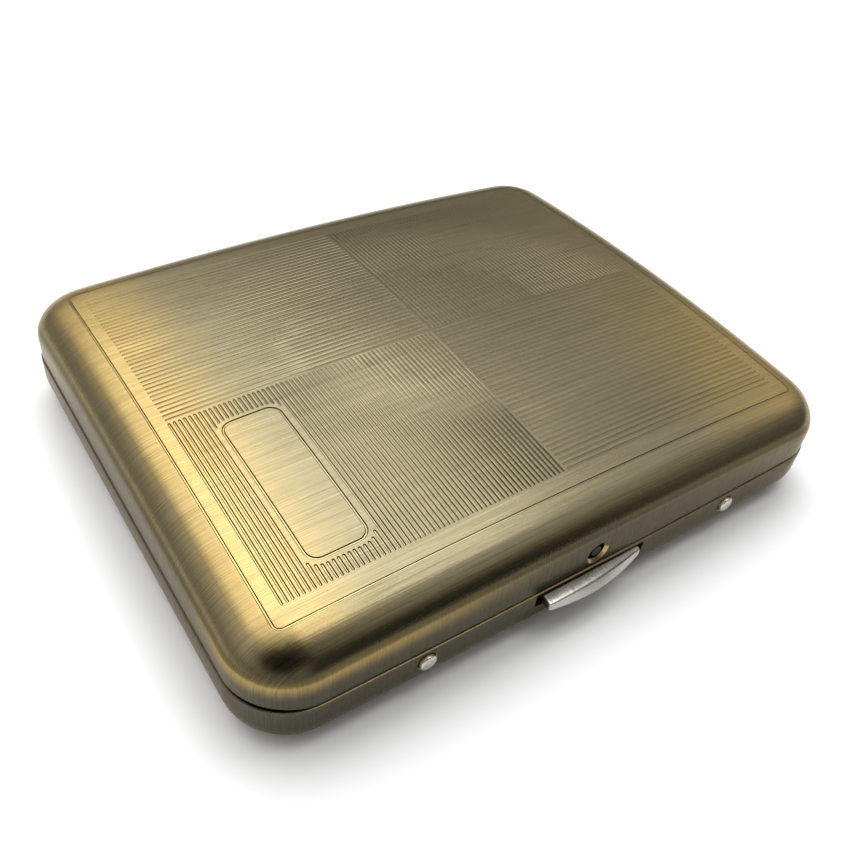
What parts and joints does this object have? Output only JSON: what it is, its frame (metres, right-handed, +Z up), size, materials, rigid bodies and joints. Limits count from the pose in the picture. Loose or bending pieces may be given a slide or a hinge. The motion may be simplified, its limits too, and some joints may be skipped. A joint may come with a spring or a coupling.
{
  "type": "cigarette case",
  "caption": "Slim hinged pocket case in aged brass with a lined, pillow-shaped lid, a blank cartouche, a thumb latch and sprung wire arms inside.",
  "frame": {"origin": "centre of the flat underside, on the surface that the case rests on", "axes": "+Z up through the closed lid, +X along the hinge to the right as the latch side is faced, -Y towards the latch side"},
  "size_m": [0.0988, 0.0857, 0.019],
  "materials": {
    "aged_brass": "brushed, aged to a bronze tone",
    "bright_brass": "satin",
    "nickel": "worn nickel plate",
    "spring_steel": "drawn wire and strip"
  },
  "bodies": {
    "base": {"base_shell": "aged_brass", "base_hinge_leaf": "bright_brass", "hinge_pin": "bright_brass", "latch_stud_left": "nickel", "latch_stud_right": "nickel", "base_arm_bracket_left": "bright_brass", "base_arm_bracket_right": "bright_brass", "base_arm_spring_left": "spring_steel", "base_arm_spring_right": "spring_steel"},
    "lid": {"lid_shell": "aged_brass", "lid_hinge_leaf": "bright_brass", "lid_arm_bracket_left": "bright_brass", "lid_arm_bracket_right": "bright_brass", "lid_arm_spring_left": "spring_steel", "lid_arm_spring_right": "spring_steel"},
    "latch": {"latch_thumb_piece": "nickel", "thumb_rivet": "nickel", "latch_leaf_spring": "spring_steel"},
    "base_retainer": {"base_arm": "bright_brass"},
    "lid_retainer": {"lid_arm": "bright_brass"}
  },
  "joints": [
    {"name": "lid_hinge", "type": "hinge", "parent": "base", "child": "lid", "pos_m": [0, 0.04095, 0.0079], "axis": [-1, 0, 0], "range_deg": [0, 165]},
    {"name": "latch_press", "type": "slide", "parent": "base", "child": "latch", "axis": [0, 1, 0], "range_m": [0, 0.0012], "stiffness_N_per_m": 1200, "deforming": ["latch_leaf_spring"]},
    {"name": "base_arm_pivot", "type": "hinge", "parent": "base", "child": "base_retainer", "pos_m": [0, 0.0335, 0.0032], "axis": [-1, 0, 0], "range_deg": [0, 14], "stiffness_Nm_per_rad": 0.02, "springref_deg": -20.05, "deforming": ["base_arm_spring_left", "base_arm_spring_right"]},
    {"name": "lid_arm_pivot", "type": "hinge", "parent": "lid", "child": "lid_retainer", "pos_m": [0, 0.0335, 0.01363], "axis": [1, 0, 0], "range_deg": [0, 14], "stiffness_Nm_per_rad": 0.02, "springref_deg": -20.05, "deforming": ["lid_arm_spring_left", "lid_arm_spring_right"]}
  ]
}
